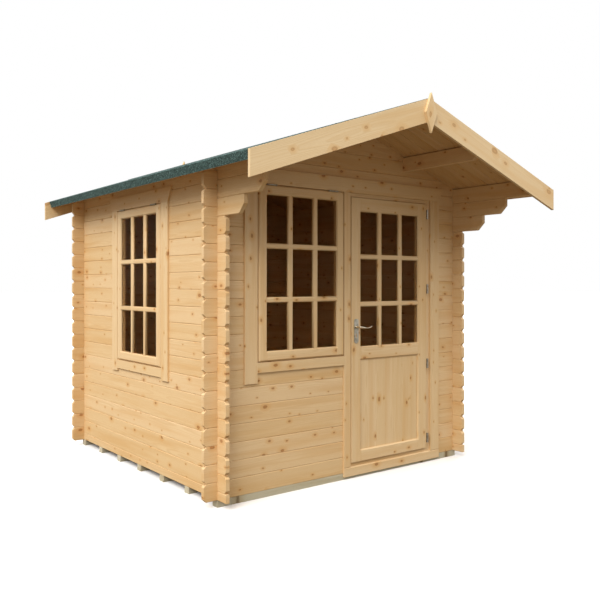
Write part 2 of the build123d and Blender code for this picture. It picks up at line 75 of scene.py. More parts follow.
def ramp(tree, value, start, end, low=0.0, high=1.0):
    # a soft step from low to high as value goes from start to end
    node = addNode(
        tree,
        "MapRange",
        {"Value": value, "From Min": start, "From Max": end, "To Min": low, "To Max": high},
        interpolation_type="SMOOTHSTEP",
    )
    return node.outputs[0]


def blendColours(tree, share, first, second, mode="MIX"):
    node = addNode(tree, "Mix", data_type="RGBA", blend_type=mode)
    for socket, value in ((node.inputs[0], share), (node.inputs[6], first), (node.inputs[7], second)):
        if isinstance(value, bpy.types.NodeSocket):
            tree.links.new(value, socket)
        else:
            socket.default_value = value if isinstance(value, float) else (*value, 1.0)
    return node.outputs[2]


def newGroup(name, inputs, outputs):
    group = bpy.data.node_groups.new(name, "ShaderNodeTree")
    for label, kind, value in inputs:
        socket = group.interface.new_socket(label, in_out="INPUT", socket_type="NodeSocket" + kind)
        if value is not None:
            socket.default_value = value
    for label, kind in outputs:
        group.interface.new_socket(label, in_out="OUTPUT", socket_type="NodeSocket" + kind)
    return group, group.nodes.new("NodeGroupInput").outputs, group.nodes.new("NodeGroupOutput")


def newMaterial(name):
    material = bpy.data.materials.new(name)
    material.use_nodes = True
    tree = material.node_tree
    return material, tree, tree.nodes["Principled BSDF"]


def connectRoughness(tree, surface, value, middle, spread):
    # roughness that goes half the spread to each side of its middle
    rough = calc(tree, "ADD", calc(tree, "MULTIPLY", value, spread), middle - spread / 2)
    tree.links.new(rough, surface.inputs["Roughness"])


def connectBump(tree, surface, height, strength, distance):
    bump = addNode(tree, "Bump", {"Height": height, "Strength": strength, "Distance": distance})
    tree.links.new(bump.outputs[0], surface.inputs["Normal"])


# Spruce figure: growth rings round a pith beside the board, knots that run through it, and fibre.
# Place is in metres, with X along the grain, Y across the board and Z through it.
# The rim, knot and halo numbers are shares of a knot's own size.
figureLook = {
    "seedShift": (7.31, 3.17, 1.73),
    "knotCell": 0.088, "cellStretch": (0.62, 1.0, 0.0), "sizePower": 2.5, "smallestKnot": 0.40,
    "wobbleScale": 90.0, "wobble": 0.007,
    "rimStart": 0.35, "rimEnd": 0.95, "knotSolid": 0.5, "knotEnd": 1.45, "haloSolid": 0.8, "haloEnd": 4.6,
    "wanderScale": (1.1, 7.0, 7.0), "wander": 0.03, "roundKnots": 0.005,
    "pithAcross": 0.12, "pithThrough": 0.06, "pithNearest": 0.025,
    "lateStart": 0.25, "lateFull": 0.85, "lateFade": 0.9,
    "streakScale": (0.9, 14.0, 14.0), "fibreScale": (14.0, 420.0, 420.0),
}


def makeSpruceFigure():
    group, given, leave = newGroup(
        "spruceFigure",
        [
            ("Place", "Vector", None),
            ("Seed", "Float", 0.0),
            ("Ring Width", "Float", 0.004),
            ("Knot Size", "Float", 0.007),
            ("Knot Share", "Float", 0.3),
        ],
        [
            ("Late Wood", "Float"),
            ("Knot", "Float"),
            ("Rim", "Float"),
            ("Halo", "Float"),
            ("Streak", "Float"),
            ("Fibre", "Float"),
        ],
    )
    look = figureLook
    chance = addNode(group, "TexWhiteNoise", {"W": given["Seed"]}, noise_dimensions="1D")
    chances = addNode(group, "SeparateXYZ", {0: chance.outputs["Color"]}).outputs
    seedShift = {0: look["seedShift"], "Scale": given["Seed"]}
    shift = addNode(group, "VectorMath", seedShift, operation="SCALE").outputs[0]
    spot = vectorCalc(group, "ADD", given["Place"], shift)

    # Knots
    cells = addNode(
        group,
        "TexVoronoi",
        {"Vector": vectorCalc(group, "MULTIPLY", spot, look["cellStretch"]), "Scale": 1 / look["knotCell"]},
        voronoi_dimensions="2D",
    )
    cellChances = addNode(group, "SeparateXYZ", {0: cells.outputs["Color"]}).outputs
    there = calc(group, "LESS_THAN", cellChances["X"], given["Knot Share"])
    sizes = calc(group, "POWER", cellChances["Y"], look["sizePower"])
    sizes = calc(group, "ADD", sizes, look["smallestKnot"])
    size = calc(group, "MULTIPLY", given["Knot Size"], sizes)
    away = calc(group, "MULTIPLY", cells.outputs["Distance"], look["knotCell"])
    wobble = noise(group, spot, look["wobbleScale"], 2.0)
    wobble = calc(group, "MULTIPLY", calc(group, "SUBTRACT", wobble, 0.5), look["wobble"])
    away = calc(group, "ADD", away, wobble)
    reach = calc(group, "DIVIDE", away, size)
    knot = calc(group, "MULTIPLY", ramp(group, reach, look["knotEnd"], look["knotSolid"]), there)
    rim = calc(group, "MULTIPLY", ramp(group, reach, look["rimStart"], look["rimEnd"]), knot)
    halo = calc(group, "MULTIPLY", ramp(group, reach, look["haloEnd"], look["haloSolid"]), there)

    # Rings, pushed aside round a knot
    parts = addNode(group, "SeparateXYZ", {0: given["Place"]}).outputs
    slow = vectorCalc(group, "MULTIPLY", spot, look["wanderScale"])
    wander = noise(group, slow, 1.0, 2.0)
    pithAcross = calc(group, "MULTIPLY", calc(group, "SUBTRACT", chances["X"], 0.5), look["pithAcross"])
    pithThrough = calc(group, "MULTIPLY", chances["Y"], look["pithThrough"])
    pithThrough = calc(group, "ADD", pithThrough, look["pithNearest"])
    across = calc(group, "SUBTRACT", parts["Y"], pithAcross)
    through = calc(group, "SUBTRACT", parts["Z"], pithThrough)
    acrossSquared = calc(group, "MULTIPLY", across, across)
    throughSquared = calc(group, "MULTIPLY", through, through)
    radius = calc(group, "SQRT", calc(group, "ADD", acrossSquared, throughSquared))
    radius = calc(group, "ADD", radius, calc(group, "MULTIPLY", wander, look["wander"]))
    radius = calc(group, "ADD", radius, calc(group, "MULTIPLY", halo, look["roundKnots"]))
    year = calc(group, "FRACT", calc(group, "DIVIDE", radius, given["Ring Width"]))
    lateRise = ramp(group, year, look["lateStart"], look["lateFull"])
    late = calc(group, "MULTIPLY", lateRise, ramp(group, year, 1.0, look["lateFade"]))

    # Broad streaks and fine fibre along the grain
    broad = vectorCalc(group, "MULTIPLY", spot, look["streakScale"])
    streak = noise(group, broad, 1.0, 3.0)
    hair = vectorCalc(group, "MULTIPLY", spot, look["fibreScale"])
    fibre = noise(group, hair, 1.0, 2.0)
    results = {"Late Wood": late, "Knot": knot, "Rim": rim, "Halo": halo, "Streak": streak, "Fibre": fibre}
    for label, socket in results.items():
        group.links.new(socket, leave.inputs[label])
    return group


spruceFigure = makeSpruceFigure()

# One look for each kind of timber. Colours are linear. The roof, eave and floor boards get a darker copy of
# the spruce whose darkness is painted shade.
timberLooks = {
    "log": {
        "pale": (0.76, 0.545, 0.300), "late": (0.62, 0.385, 0.175), "warm": (0.70, 0.455, 0.215),
        "halo": (0.66, 0.35, 0.115), "knot": (0.42, 0.185, 0.058), "rim": (0.24, 0.095, 0.030),
        "lateShare": 0.36, "ring": 0.0042, "knotSize": 0.0072,
        "knotShare": 0.50, "toneSpread": 0.04, "roughness": 0.58,
    },
    "joinery": {
        "pale": (0.77, 0.56, 0.315), "late": (0.64, 0.41, 0.19), "warm": (0.72, 0.48, 0.235),
        "halo": (0.66, 0.35, 0.105), "knot": (0.42, 0.180, 0.054), "rim": (0.26, 0.105, 0.032),
        "lateShare": 0.34, "ring": 0.0036, "knotSize": 0.0070,
        "knotShare": 0.46, "toneSpread": 0.03, "roughness": 0.52,
    },
    "fascia": {
        "pale": (0.79, 0.60, 0.355), "late": (0.68, 0.46, 0.225), "warm": (0.74, 0.52, 0.270),
        "halo": (0.70, 0.43, 0.175), "knot": (0.58, 0.34, 0.140), "rim": (0.34, 0.160, 0.055),
        "lateShare": 0.40, "ring": 0.0050, "knotSize": 0.0125,
        "knotShare": 0.30, "toneSpread": 0.03, "roughness": 0.55,
    },
    # a darker copy of the spruce for the roof deck, eave battens and floor boards; the darkening is painted
    # shade for boards under the canopy, under the eaves and inside
    "roofBoard": {
        "pale": (0.68, 0.46, 0.230), "late": (0.54, 0.32, 0.135), "warm": (0.62, 0.39, 0.165),
        "halo": (0.58, 0.31, 0.110), "knot": (0.38, 0.175, 0.060), "rim": (0.18, 0.075, 0.026),
        "lateShare": 0.40, "ring": 0.0040, "knotSize": 0.0090,
        "knotShare": 0.36, "toneSpread": 0.06, "roughness": 0.62,
    },
    "treated": {
        "pale": (0.64, 0.58, 0.43), "late": (0.44, 0.38, 0.25), "warm": (0.50, 0.41, 0.26),
        "halo": (0.40, 0.29, 0.14), "knot": (0.22, 0.14, 0.065), "rim": (0.12, 0.080, 0.040),
        "lateShare": 0.60, "ring": 0.0060, "knotSize": 0.0100,
        "knotShare": 0.25, "toneSpread": 0.12, "roughness": 0.72,
    },
}


# What every timber shares: how far the parts of the figure colour, roughen and raise the surface.
# Each Step is where a soft step starts and ends.
timberSurface = {
    "streakStep": (0.42, 0.70), "fibreStep": (0.45, 0.75), "fibreShare": 0.22,
    "haloShare": 0.55, "knotShare": 0.85, "rimShare": 0.60, "roughSpread": 0.16, "specular": 0.35,
    "fibreHeight": 0.6, "bumpStrength": 0.35, "bumpDistance": 0.0006,
}


def makeTimber(name):
    look = timberLooks[name]
    shared = timberSurface
    material, tree, surface = newMaterial("timber_" + name)
    place = addNode(tree, "Attribute", attribute_name="grainPlace").outputs["Vector"]
    seed = addNode(tree, "Attribute", attribute_name="boardSeed").outputs["Fac"]
    figure = tree.nodes.new("ShaderNodeGroup")
    figure.node_tree = spruceFigure
    tree.links.new(place, figure.inputs["Place"])
    tree.links.new(seed, figure.inputs["Seed"])
    figure.inputs["Ring Width"].default_value = look["ring"]
    figure.inputs["Knot Size"].default_value = look["knotSize"]
    figure.inputs["Knot Share"].default_value = look["knotShare"]
    out = figure.outputs
    warmth = ramp(tree, out["Streak"], *shared["streakStep"])
    colour = blendColours(tree, warmth, look["pale"], look["warm"])
    lateShare = calc(tree, "MULTIPLY", out["Late Wood"], look["lateShare"])
    colour = blendColours(tree, lateShare, colour, look["late"])
    hairShare = ramp(tree, out["Fibre"], *shared["fibreStep"], 0.0, shared["fibreShare"])
    colour = blendColours(tree, hairShare, colour, look["late"])
    for mark in ("Halo", "Knot", "Rim"):
        share = calc(tree, "MULTIPLY", out[mark], shared[mark.lower() + "Share"])
        colour = blendColours(tree, share, colour, look[mark.lower()])

    # no two boards have quite the same tone
    chance = addNode(tree, "TexWhiteNoise", {"W": seed}, noise_dimensions="1D").outputs["Value"]
    less, more = 1.0 - look["toneSpread"], 1.0 + look["toneSpread"]
    brighter = 1.0 + look["toneSpread"] / 2
    value = addNode(tree, "MapRange", {"Value": chance, "To Min": less, "To Max": brighter}).outputs[0]
    saturation = addNode(tree, "MapRange", {"Value": chance, "To Min": more, "To Max": less}).outputs[0]
    toned = addNode(tree, "HueSaturation", {"Color": colour, "Value": value, "Saturation": saturation})
    tree.links.new(toned.outputs[0], surface.inputs["Base Color"])
    connectRoughness(tree, surface, out["Fibre"], look["roughness"], shared["roughSpread"])
    surface.inputs["Specular IOR Level"].default_value = shared["specular"]
    height = calc(tree, "MULTIPLY", out["Fibre"], shared["fibreHeight"])
    height = calc(tree, "SUBTRACT", calc(tree, "ADD", height, out["Late Wood"]), out["Knot"])
    connectBump(tree, surface, height, shared["bumpStrength"], shared["bumpDistance"])
    return material


timbers = {name: makeTimber(name) for name in timberLooks}

# Mineral felt: grit of two sizes in greens and greys
feltLook = {
    "dark": (0.020, 0.038, 0.034), "mid": (0.062, 0.112, 0.104), "light": (0.190, 0.330, 0.325),
    "grit": 230.0, "coarseGrit": 110.0, "cloud": 3.5, "clumpStep": (0.35, 0.65),
    "lightStep": (0.72, 0.95), "lightShare": 0.8, "darkStep": (0.80, 0.98), "darkShare": 0.7,
    "cloudStep": (0.35, 0.7), "cloudShare": 0.25, "roughness": 0.88, "specular": 0.3,
    "bumpStrength": 0.7, "bumpDistance": 0.0015,
}


def makeFelt():
    look = feltLook
    material, tree, surface = newMaterial("mineral_felt")
    place = addNode(tree, "TexCoord").outputs["Object"]
    grit = addNode(tree, "TexVoronoi", {"Vector": place, "Scale": look["grit"]})
    shade = addNode(tree, "SeparateXYZ", {0: grit.outputs["Color"]}).outputs
    clumps = noise(tree, place, look["coarseGrit"], 2.0)
    cloud = noise(tree, place, look["cloud"], 3.0)
    colour = blendColours(tree, ramp(tree, clumps, *look["clumpStep"]), look["dark"], look["mid"])
    lightShare = ramp(tree, shade["X"], *look["lightStep"], 0.0, look["lightShare"])
    colour = blendColours(tree, lightShare, colour, look["light"])
    darkShare = ramp(tree, shade["Y"], *look["darkStep"], 0.0, look["darkShare"])
    colour = blendColours(tree, darkShare, colour, look["dark"])
    cloudShare = ramp(tree, cloud, *look["cloudStep"], 0.0, look["cloudShare"])
    colour = blendColours(tree, cloudShare, colour, look["mid"])
    tree.links.new(colour, surface.inputs["Base Color"])
    surface.inputs["Roughness"].default_value = look["roughness"]
    surface.inputs["Specular IOR Level"].default_value = look["specular"]
    height = calc(tree, "ADD", grit.outputs["Distance"], clumps)
    connectBump(tree, surface, height, look["bumpStrength"], look["bumpDistance"])
    return material


# Glass has a warm tint, and a low IOR that keeps its mirror of the sky faint
glassLook = {"tint": (0.81, 0.70, 0.585), "ior": 1.035}


def makeGlass():
    material, _, surface = newMaterial("window_glass")
    surface.inputs["Base Color"].default_value = (*glassLook["tint"], 1.0)
    surface.inputs["Roughness"].default_value = 0.0
    surface.inputs["IOR"].default_value = glassLook["ior"]
    surface.inputs["Transmission Weight"].default_value = 1.0
    return material


# Metals: a dull zinc for the hinges, a warm nickel for the door furniture
metalLooks = {
    "hinge_zinc": {"clean": (0.44, 0.41, 0.35), "dull": (0.30, 0.27, 0.23), "roughness": 0.42},
    "plate_nickel": {"clean": (0.63, 0.61, 0.55), "dull": (0.40, 0.39, 0.34), "roughness": 0.30},
    "lever_nickel": {"clean": (0.80, 0.72, 0.56), "dull": (0.58, 0.48, 0.32), "roughness": 0.22},
}
metalSurface = {
    "cloud": 60.0, "cloudStep": (0.4, 0.68), "brushScale": (900.0, 900.0, 60.0), "roughSpread": 0.16,
    "bumpStrength": 0.15, "bumpDistance": 0.0002,
}


def makeMetal(name):
    look = metalLooks[name]
    shared = metalSurface
    material, tree, surface = newMaterial(name)
    place = addNode(tree, "TexCoord").outputs["Object"]
    cloud = noise(tree, place, shared["cloud"], 4.0)
    brushed = vectorCalc(tree, "MULTIPLY", place, shared["brushScale"])
    lines = noise(tree, brushed, 1.0, 2.0)
    dullness = ramp(tree, cloud, *shared["cloudStep"])
    tree.links.new(blendColours(tree, dullness, look["clean"], look["dull"]), surface.inputs["Base Color"])
    surface.inputs["Metallic"].default_value = 1.0
    connectRoughness(tree, surface, lines, look["roughness"], shared["roughSpread"])
    connectBump(tree, surface, lines, shared["bumpStrength"], shared["bumpDistance"])
    return material


felt = makeFelt()
glass = makeGlass()
metals = {name: makeMetal(name) for name in metalLooks}
print("materials made")


# Pieces. The first three are how near counts as one place, on a frame's face and on a new box's face.
tolerance = {"weld": 1e-5, "frameFace": 1e-4, "boxFace": 1e-6, "flatAngle": 0.5, "sharpAngle": 20.0}
boardSeeds = (0.0, 40.0)


def copyOfNode(name):
    bm = bmesh.new()
    bm.from_mesh(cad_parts[name].data)
    bmesh.ops.remove_doubles(bm, verts=bm.verts, dist=tolerance["weld"])
    for face in bm.faces:
        face.smooth = False
    return bm


def sharpEdges(bm):
    angle = math.radians(tolerance["sharpAngle"])
    return [e for e in bm.edges if e.is_manifold and e.calc_face_angle(0.0) > angle]


def soften(bm, width, segments=2, edges=None):
    made = bmesh.ops.bevel(
        bm,
        geom=sharpEdges(bm) if edges is None else edges,
        offset=width,
        segments=segments,
        profile=0.5,
        affect="EDGES",
        clamp_overlap=True,
        material=-1,
    )
    for face in made["faces"]:
        face.smooth = True


def mergeFlatFaces(bm):
    angle = math.radians(tolerance["flatAngle"])
    bmesh.ops.remove_doubles(bm, verts=bm.verts, dist=tolerance["weld"])
    bmesh.ops.dissolve_limit(bm, angle_limit=angle, verts=bm.verts, edges=bm.edges)


def addBox(bm, low, high):
    low, high = Vector(low), Vector(high)
    made = bmesh.ops.create_cube(bm, size=1.0)["verts"]
    bmesh.ops.scale(bm, vec=high - low, verts=made)
    bmesh.ops.translate(bm, vec=(low + high) / 2, verts=made)
    return made


def islandsOf(bm):
    seen, found = set(), []
    for start in bm.verts:
        if start in seen:
            continue
        seen.add(start)
        island, waiting = [], [start]
        while waiting:
            vert = waiting.pop()
            island.append(vert)
            for edge in vert.link_edges:
                other = edge.other_vert(vert)
                if other not in seen:
                    seen.add(other)
                    waiting.append(other)
        found.append(island)
    return found


def newObject(name, data):
    made = bpy.data.objects.new(name, data)
    bpy.context.scene.collection.objects.link(made)
    return made


def finishPiece(bm, name, body, material, nodes=()):
    mesh = bpy.data.meshes.new(name)
    bm.to_mesh(mesh)
    bm.free()
    # the solids bring normals of their own, which don't fit the eased edges
    if mesh.has_custom_normals:
        mesh.attributes.remove(mesh.attributes["custom_normal"])
    piece = newObject(name, mesh)
    mesh.materials.append(material)
    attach(piece, body)
    if nodes:
        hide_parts(*nodes)
    return piece


def finishWood(bm, name, body, timber, nodes=(), turn=0.0):
    # each island is one board, with its grain along its longest side; turn lays a sloping one level
    bm.verts.index_update()
    spin = Matrix.Rotation(turn, 3, "Y")
    places = [0.0] * (3 * len(bm.verts))
    seeds = [0.0] * len(bm.verts)
    picker = random.Random(name)
    boards = []
    for island in islandsOf(bm):
        spots = [spin @ vert.co for vert in island]
        low = Vector([min(s[i] for s in spots) for i in range(3)])
        high = Vector([max(s[i] for s in spots) for i in range(3)])
        boards.append(([round(c, 3) for c in low], island, spots, low, high))
    boards.sort(key=lambda board: board[0])
    for _, island, spots, low, high in boards:
        sides = high - low
        order = sorted(range(3), key=lambda i: -sides[i])
        middle = (low + high) / 2
        seed = picker.uniform(*boardSeeds)
        flip = picker.choice((-1, 1))
        for vert, spot in zip(island, spots):
            away = spot - middle
            places[3 * vert.index:3 * vert.index + 3] = (
                away[order[0]], away[order[1]], flip * away[order[2]]
            )
            seeds[vert.index] = seed
    piece = finishPiece(bm, name, body, timbers[timber], nodes)
    piece.data.attributes.new("grainPlace", "FLOAT_VECTOR", "POINT").data.foreach_set("vector", places)
    piece.data.attributes.new("boardSeed", "FLOAT", "POINT").data.foreach_set("value", seeds)
    return piece


# Logs, carrying timbers and boards keep the shape of the solids, with their edges eased
easedEdge = 0.0008
roofPitch = math.radians(19.13)
timberNodes = {
    "front_wall_left": "log", "front_wall_right": "log", "back_wall": "log",
    "left_wall_lower": "log", "left_wall_front": "log", "left_wall_rear": "log", "right_wall": "log",
    "left_plate": "log", "right_plate": "log", "left_purlin": "log", "right_purlin": "log",
    "front_gable": "log", "back_gable": "log", "floor_bearers": "treated",
    "front_trim": "joinery", "side_trim": "joinery",
    "front_finial": "fascia", "rear_finial": "fascia",
}
slopedNodes = {
    "front_fascia_left": "fascia", "front_fascia_right": "fascia",
    "rear_fascia_left": "fascia", "rear_fascia_right": "fascia",
    "left_eave_batten": "roofBoard", "right_eave_batten": "roofBoard",
}


def camel(node, ending):
    first, *rest = node.split("_")
    return first + "".join(word.capitalize() for word in rest) + ending


logBoxes = []
for node, timber in {**timberNodes, **slopedNodes}.items():
    dressed = copyOfNode(node)
    if timber == "log":
        for island in islandsOf(dressed):
            logBoxes.append([pick(v.co[i] for v in island) for pick in (min, max) for i in range(3)])
    mergeFlatFaces(dressed)
    soften(dressed, easedEdge)
    turn = 0.0
    if node in slopedNodes:
        turn = -roofPitch if "right" in node else roofPitch
    finishWood(dressed, camel(node, "Timber"), "cabin", timber, [node], turn)

# A tongue in each joint between two logs of a wall, so that no daylight shows through.
# It reaches depth into both logs and stops end before their ends; joint is the widest gap that it closes.
tongue = {"width": 0.010, "depth": 0.001, "joint": 0.001, "end": 0.004}
tongues = bmesh.new()
logBoxes.sort()
for below in logBoxes:
    along = 0 if below[3] - below[0] > below[4] - below[1] else 1
    across = 1 - along
    middle = (below[across] + below[across + 3]) / 2
    for above in logBoxes:
        sameWall = abs((above[across] + above[across + 3]) / 2 - middle) < tongue["joint"]
        if not sameWall or abs(above[2] - below[5]) > tongue["joint"]:
            continue
        start = max(below[along], above[along]) + tongue["end"]
        finish = min(below[along + 3], above[along + 3]) - tongue["end"]
        if finish > start:
            low, high = [0.0, 0.0, below[5] - tongue["depth"]], [0.0, 0.0, above[2] + tongue["depth"]]
            low[along], high[along] = start, finish
            low[across], high[across] = middle - tongue["width"] / 2, middle + tongue["width"] / 2
            addBox(tongues, low, high)
print("tongues:", len(tongues.verts) // 8)
finishWood(tongues, "logTongues", "cabin", "log")
print("logs and boards dressed")


# Frames, sashes and the leaf are cut at their joints, so that stiles and rails are boards.
# The shoulder keeps each cut inside the opening, clear of the faces of the stiles.
joint = {
    "stile": 0.065, "leafStile": 0.093, "jamb": 0.042, "hingeJamb": 0.072, "shoulder": 0.002,
    "sashRounding": 0.007, "roundSegments": 4,
}


def cutFrame(node, axis, marks, name, body, rounding):
    # axis runs along the rails; marks are where the rails meet the stiles
    whole = copyOfNode(node)
    boxLow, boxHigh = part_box(node)
    depthAxis = 1 - axis
    normal = Vector([1.0 if i == axis else 0.0 for i in range(3)])
    spans = [(None, marks[0]), (marks[0], marks[1]), (marks[1], None)]
    joined = bmesh.new()
    for low, high in spans:
        part = whole.copy()
        for mark, side in ((low, -1), (high, 1)):
            if mark is None:
                continue
            cut = bmesh.ops.bisect_plane(
                part,
                geom=part.verts[:] + part.edges[:] + part.faces[:],
                plane_co=normal * mark,
                plane_no=normal * side,
                clear_outer=True,
            )
            rim = [e for e in cut["geom_cut"] if isinstance(e, bmesh.types.BMEdge)]
            bmesh.ops.holes_fill(part, edges=rim, sides=0)
        mergeFlatFaces(part)
        outerEdges = [
            e for e in part.edges
            if all(abs(v.co[depthAxis] - boxLow[depthAxis]) < tolerance["frameFace"] for v in e.verts)
            and any(
                all(abs(v.co[i] - limit[i]) < tolerance["frameFace"] for v in e.verts)
                for limit in (boxLow, boxHigh)
                for i in (axis, 2)
            )
        ]
        if rounding:
            soften(part, rounding, joint["roundSegments"], outerEdges)
        soften(part, easedEdge)
        scratch = bpy.data.meshes.new("scratch")
        part.to_mesh(scratch)
        part.free()
        joined.from_mesh(scratch)
        bpy.data.meshes.remove(scratch)
    whole.free()
    return finishWood(joined, name, body, "joinery", [node])


def stileMarks(node, axis, first, last):
    low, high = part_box(node)
    return low[axis] + joint[first] + joint["shoulder"], high[axis] - joint[last] - joint["shoulder"]


for node, axis, first, last, name, body, rounding in (
    ("front_window_sash", 0, "stile", "stile", "frontSash", "cabin", joint["sashRounding"]),
    ("side_window_sash", 1, "stile", "stile", "sideSash", "cabin", joint["sashRounding"]),
    ("door_leaf", 0, "leafStile", "leafStile", "doorLeaf", "door", 0.0),
    ("front_window_frame", 0, "jamb", "jamb", "frontWindowFrame", "cabin", 0.0),
    ("side_window_frame", 1, "jamb", "jamb", "sideWindowFrame", "cabin", 0.0),
    ("door_frame", 0, "jamb", "hingeJamb", "doorFrame", "cabin", 0.0),
):
    cutFrame(node, axis, stileMarks(node, axis, first, last), name, body, rounding)
print("frames and sashes made")


# Glazing bars lie on both sides of the glass, with their edges rounded on the side away from it.
# runIn is how far their ends reach into the sash, and scribe how far the uprights lie inside the others.
bars = {
    "upright": 0.043, "cross": 0.036, "rebate": 0.008, "setback": 0.003, "sashSetback": 0.014,
    "innerDepth": 0.011, "round": 0.0095, "roundSegments": 5, "runIn": 0.006, "scribe": 0.0006,
    "columns": 3, "rows": 3, "doorRow": 0.307,
}


def addBar(bm, low, high, along, outward, depthAxis):
    # a bar from its low corner to its high one, its long edges rounded on the side that outward gives
    corners = addBox(bm, low, high)
    edges = {e for v in corners for e in v.link_edges}
    front = (max if outward > 0 else min)(v.co[depthAxis] for v in corners)
    rim = [
        e
        for e in edges
        if all(abs(v.co[depthAxis] - front) < tolerance["boxFace"] for v in e.verts)
        and abs(e.verts[0].co[along] - e.verts[1].co[along]) > tolerance["boxFace"]
    ]
    soften(bm, bars["round"], bars["roundSegments"], rim)


def makeBars(glassNode, axis, outward, body, name, firstRow=None):
    # axis runs across the window; outward is the side of the weather along the other one
    depthAxis = 1 - axis
    low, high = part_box(glassNode)
    left, right = low[axis] + bars["rebate"], high[axis] - bars["rebate"]
    foot, top = low[2] + bars["rebate"], high[2] - bars["rebate"]
    pane = (right - left - (bars["columns"] - 1) * bars["upright"]) / bars["columns"]
    row = firstRow or (top - foot - (bars["rows"] - 1) * bars["cross"]) / bars["rows"]
    glassFront = high[depthAxis] if outward > 0 else low[depthAxis]
    glassBack = low[depthAxis] if outward > 0 else high[depthAxis]
    outer = sorted((glassFront, glassFront + outward * (bars["sashSetback"] - bars["setback"])))
    inner = sorted((glassBack, glassBack - outward * bars["innerDepth"]))
    bm = bmesh.new()
    for depth, side in ((outer, outward), (inner, -outward)):
        scribed = [depth[0] + bars["scribe"], depth[1] - bars["scribe"]]
        for i in range(1, bars["columns"]):
            start = left + i * pane + (i - 1) * bars["upright"]
            addBar(
                bm,
                barCorner(axis, start, scribed[0], foot - bars["runIn"]),
                barCorner(axis, start + bars["upright"], scribed[1], top + bars["runIn"]),
                2, side, depthAxis,
            )
        for i in range(1, bars["rows"]):
            start = top - i * row - i * bars["cross"]
            addBar(
                bm,
                barCorner(axis, left - bars["runIn"], depth[0], start),
                barCorner(axis, right + bars["runIn"], depth[1], start + bars["cross"]),
                axis, side, depthAxis,
            )
    return finishWood(bm, name, body, "joinery")


def barCorner(axis, across, depth, height):
    return (across, depth, height) if axis == 0 else (depth, across, height)


makeBars("front_window_glass", 0, -1, "cabin", "frontWindowBars")
makeBars("side_window_glass", 1, -1, "cabin", "sideWindowBars")
makeBars("door_glass", 0, -1, "door", "doorBars", bars["doorRow"])


# The door's panel is glued up from upright strips
panelLook = {"strips": 7, "eased": 0.0004}
panelLow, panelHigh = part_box("door_panel")
stripWidth = (panelHigh.x - panelLow.x) / panelLook["strips"]
panel = bmesh.new()
for i in range(panelLook["strips"]):
    addBox(
        panel,
        (panelLow.x + i * stripWidth, panelLow.y, panelLow.z),
        (panelLow.x + (i + 1) * stripWidth, panelHigh.y, panelHigh.z),
    )
soften(panel, panelLook["eased"], 1)
finishWood(panel, "doorPanelStrips", "door", "joinery", ["door_panel"])
print("bars and panel made")

# Floor boards run from the front to the back, and stop short behind the door frame
floorLook = {"width": 0.094, "groove": 0.002, "doorGap": 0.002, "narrowest": 0.005}
floorLow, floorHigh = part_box("floor_boards")
doorLow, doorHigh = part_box("door_frame")
doorway = (doorLow.x - floorLook["doorGap"], doorHigh.x + floorLook["doorGap"])
boardCount = math.ceil((floorHigh.x - floorLow.x) / floorLook["width"])
boardLines = [floorLow.x + i * floorLook["width"] for i in range(boardCount)]
boardLines = sorted([*boardLines, floorHigh.x, *doorway])
floor = bmesh.new()
for left, right in zip(boardLines, boardLines[1:]):
    if right - left < floorLook["narrowest"]:
        continue
    behindDoor = doorway[0] < (left + right) / 2 < doorway[1]
    start = doorHigh.y + floorLook["doorGap"] if behindDoor else floorLow.y
    addBox(floor, (left, start, floorLow.z), (right, floorHigh.y, floorHigh.z))
soften(floor, floorLook["groove"], 1)
finishWood(floor, "floorBoards", "cabin", "roofBoard", ["floor_boards"])

# Roof boards run down each slope, with a V joint on their underside
roofLook = {"width": 0.094, "groove": 0.004, "thickness": 0.030}


def slopeLength(deckNode):
    # from the ridge to the eave, along the deck's underside
    low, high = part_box(deckNode)
    edge = max(abs(low.x), abs(high.x))
    return (edge - roofLook["thickness"] * math.sin(roofPitch)) / math.cos(roofPitch)


def slopeFrame(side):
    # turns a place (down the slope, along the roof, above the deck's underside) into the model's frame
    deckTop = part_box("left_roof_deck" if side < 0 else "right_roof_deck")[1].z
    ridge = deckTop - roofLook["thickness"] / math.cos(roofPitch)
    turn = Matrix.Rotation(side * roofPitch, 4, "Y")
    return Matrix.Translation((0, 0, ridge)) @ turn


for side, node in ((-1, "left_roof_deck"), (1, "right_roof_deck")):
    low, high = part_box(node)
    spare = roofLook["thickness"] * math.tan(roofPitch)
    ends = sorted((-side * spare, side * slopeLength(node)))
    roof = bmesh.new()
    for i in range(math.ceil((high.y - low.y) / roofLook["width"])):
        start = low.y + i * roofLook["width"]
        finish = min(start + roofLook["width"], high.y)
        addBox(roof, (ends[0], start, 0.0), (ends[1], finish, roofLook["thickness"]))
    lowerEdges = [
        e for e in roof.edges
        if all(abs(v.co.z) < tolerance["boxFace"] for v in e.verts)
        and abs(e.verts[0].co.y - e.verts[1].co.y) < tolerance["boxFace"]
    ]
    soften(roof, roofLook["groove"], 1, lowerEdges)
    bmesh.ops.transform(roof, matrix=slopeFrame(side), verts=roof.verts)
    # each board runs a little past the ridge, and is cut off in the middle plane
    bmesh.ops.bisect_plane(
        roof,
        geom=roof.verts[:] + roof.edges[:] + roof.faces[:],
        plane_co=(0, 0, 0),
        plane_no=(-side, 0, 0),
        clear_outer=True,
    )
    bmesh.ops.holes_fill(roof, edges=[e for e in roof.edges if e.is_boundary], sides=0)
    bmesh.ops.dissolve_degenerate(roof, dist=tolerance["weld"], edges=roof.edges)
    finishWood(roof, camel(node, "Boards"), "cabin", "roofBoard", [node], -side * roofPitch)
print("floor and roof boards made")

# Felt: a lower and an upper sheet on each slope, lapped, under a strip over the ridge.
# drop and fold belong to the eave; the upper sheet climbs from liftStart above the lower one's edge to
# liftEnd below it, and starts ridgeGap below the ridge.
feltCut = {
    "thickness": 0.003, "lap": 0.085, "lowerSheet": 0.86, "ridgeStrip": 0.17, "drop": 0.024, "fold": 0.002,
    "liftStart": 0.02, "liftEnd": 0.012, "ridgeGap": 0.004, "ridgeWeld": 0.0008,
}


